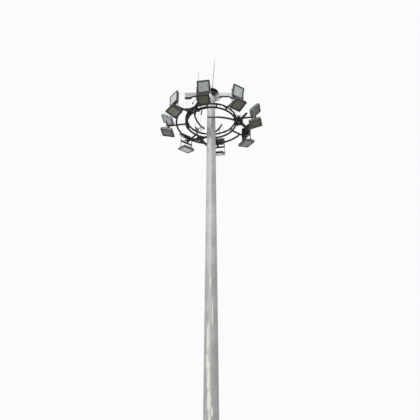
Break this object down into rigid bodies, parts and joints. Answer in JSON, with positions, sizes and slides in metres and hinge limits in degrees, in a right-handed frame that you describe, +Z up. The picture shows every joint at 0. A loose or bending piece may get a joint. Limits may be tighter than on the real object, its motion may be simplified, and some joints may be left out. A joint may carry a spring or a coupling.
{
  "type": "high mast floodlight tower",
  "caption": "Tapered many-sided steel mast on a bolted base flange, with a ring of tilting floodlights in stacked pairs that a rope lift lowers down the mast for service.",
  "frame": {"origin": "centre of the base flange's underside, on the mast's axis", "axes": "+Z up the mast; the head frame's two arms point along +X and -X; the service door faces -Y"},
  "size_m": [3.3271, 3.3221, 21.5558],
  "materials": {
    "galvanised": "weathered hot-dip galvanised, matt",
    "sheave_metal": "greased",
    "rope": "galvanised wire rope",
    "cap": "matt moulded shell",
    "rod_metal": "dull, weathered",
    "side_rod_metal": "dull galvanised",
    "dark_steel": "dark, dusty satin paint",
    "lug_metal": "galvanised, dull",
    "plug_black": "black rubber and plastic",
    "nylon": "matt nylon",
    "box_metal": "satin grey",
    "strap_metal": "satin grey",
    "housing": "coated casting, satin",
    "upper_glass": "clear toughened pane over the diodes",
    "lower_glass": "clear toughened pane over the diodes"
  },
  "bodies": {
    "mast": {"base_flange": "galvanised", "base_gussets": "galvanised", "mast_lower": "galvanised", "mast_upper": "galvanised", "door_frame": "galvanised", "service_door": "galvanised", "head_hub": "galvanised", "head_arm_right": "galvanised", "head_arm_left": "galvanised", "head_sheaves": "sheave_metal", "head_ropes": "rope", "suspension_ropes": "rope", "rain_cap": "cap", "lightning_rod": "rod_metal", "side_rod": "side_rod_metal"},
    "carriage": {"upper_ring": "dark_steel", "lower_ring": "dark_steel", "outer_ring": "dark_steel", "radial_arms": "dark_steel", "knee_plates": "dark_steel", "guide_arms": "dark_steel", "guide_rollers": "nylon", "rope_lugs": "lug_metal", "hanging_plugs": "plug_black", "junction_box": "box_metal", "upper_yokes": "strap_metal", "lower_yokes": "strap_metal"},
    "upper_light_1": {"upper_lamp_1": "housing", "upper_glass_1": "upper_glass"},
    "upper_light_2": {"upper_lamp_2": "housing", "upper_glass_2": "upper_glass"},
    "upper_light_3": {"upper_lamp_3": "housing", "upper_glass_3": "upper_glass"},
    "upper_light_4": {"upper_lamp_4": "housing", "upper_glass_4": "upper_glass"},
    "upper_light_5": {"upper_lamp_5": "housing", "upper_glass_5": "upper_glass"},
    "upper_light_6": {"upper_lamp_6": "housing", "upper_glass_6": "upper_glass"},
    "upper_light_7": {"upper_lamp_7": "housing", "upper_glass_7": "upper_glass"},
    "upper_light_8": {"upper_lamp_8": "housing", "upper_glass_8": "upper_glass"},
    "lower_light_1": {"lower_lamp_1": "housing", "lower_glass_1": "lower_glass"},
    "lower_light_2": {"lower_lamp_2": "housing", "lower_glass_2": "lower_glass"},
    "lower_light_3": {"lower_lamp_3": "housing", "lower_glass_3": "lower_glass"},
    "lower_light_4": {"lower_lamp_4": "housing", "lower_glass_4": "lower_glass"},
    "lower_light_5": {"lower_lamp_5": "housing", "lower_glass_5": "lower_glass"},
    "lower_light_6": {"lower_lamp_6": "housing", "lower_glass_6": "lower_glass"},
    "lower_light_7": {"lower_lamp_7": "housing", "lower_glass_7": "lower_glass"},
    "lower_light_8": {"lower_lamp_8": "housing", "lower_glass_8": "lower_glass"}
  },
  "joints": [
    {"name": "carriage_lift", "type": "slide", "parent": "mast", "child": "carriage", "axis": [0, 0, 1], "range_m": [-17, 0], "deforming": ["suspension_ropes"]},
    {"name": "upper_tilt_1", "type": "hinge", "parent": "carriage", "child": "upper_light_1", "pos_m": [1.42518, -0.23849, 19.14], "axis": [0.165, 0.9863, 0], "range_deg": [-57, 38]},
    {"name": "upper_tilt_2", "type": "hinge", "parent": "carriage", "child": "upper_light_2", "pos_m": [1.1764, 0.83912, 19.14], "axis": [-0.5807, 0.8141, 0], "range_deg": [-12, 83]},
    {"name": "upper_tilt_3", "type": "hinge", "parent": "carriage", "child": "upper_light_3", "pos_m": [0.23849, 1.42518, 19.14], "axis": [-0.9863, 0.165, 0], "range_deg": [-38, 57]},
    {"name": "upper_tilt_4", "type": "hinge", "parent": "carriage", "child": "upper_light_4", "pos_m": [-0.83912, 1.1764, 19.14], "axis": [-0.8141, -0.5807, 0], "range_deg": [-52, 43]},
    {"name": "upper_tilt_5", "type": "hinge", "parent": "carriage", "child": "upper_light_5", "pos_m": [-1.42518, 0.23849, 19.14], "axis": [-0.165, -0.9863, 0], "range_deg": [-68, 27]},
    {"name": "upper_tilt_6", "type": "hinge", "parent": "carriage", "child": "upper_light_6", "pos_m": [-1.1764, -0.83912, 19.14], "axis": [0.5807, -0.8141, 0], "range_deg": [-10, 85]},
    {"name": "upper_tilt_7", "type": "hinge", "parent": "carriage", "child": "upper_light_7", "pos_m": [-0.23849, -1.42518, 19.14], "axis": [0.9863, -0.165, 0], "range_deg": [-29, 66]},
    {"name": "upper_tilt_8", "type": "hinge", "parent": "carriage", "child": "upper_light_8", "pos_m": [0.83912, -1.1764, 19.14], "axis": [0.8141, 0.5807, 0], "range_deg": [-26, 69]},
    {"name": "lower_tilt_1", "type": "hinge", "parent": "carriage", "child": "lower_light_1", "pos_m": [1.42518, -0.23849, 18.64], "axis": [0.165, 0.9863, 0], "range_deg": [-70, 15]},
    {"name": "lower_tilt_2", "type": "hinge", "parent": "carriage", "child": "lower_light_2", "pos_m": [1.1764, 0.83912, 18.64], "axis": [-0.5807, 0.8141, 0], "range_deg": [-68, 17]},
    {"name": "lower_tilt_3", "type": "hinge", "parent": "carriage", "child": "lower_light_3", "pos_m": [0.23849, 1.42518, 18.64], "axis": [-0.9863, 0.165, 0], "range_deg": [-60, 25]},
    {"name": "lower_tilt_4", "type": "hinge", "parent": "carriage", "child": "lower_light_4", "pos_m": [-0.83912, 1.1764, 18.64], "axis": [-0.8141, -0.5807, 0], "range_deg": [-68, 17]},
    {"name": "lower_tilt_5", "type": "hinge", "parent": "carriage", "child": "lower_light_5", "pos_m": [-1.42518, 0.23849, 18.64], "axis": [-0.165, -0.9863, 0], "range_deg": [-69, 16]},
    {"name": "lower_tilt_6", "type": "hinge", "parent": "carriage", "child": "lower_light_6", "pos_m": [-1.1764, -0.83912, 18.64], "axis": [0.5807, -0.8141, 0], "range_deg": [-69, 16]},
    {"name": "lower_tilt_7", "type": "hinge", "parent": "carriage", "child": "lower_light_7", "pos_m": [-0.23849, -1.42518, 18.64], "axis": [0.9863, -0.165, 0], "range_deg": [-72, 13]},
    {"name": "lower_tilt_8", "type": "hinge", "parent": "carriage", "child": "lower_light_8", "pos_m": [0.83912, -1.1764, 18.64], "axis": [0.8141, 0.5807, 0], "range_deg": [-66, 19]}
  ]
}
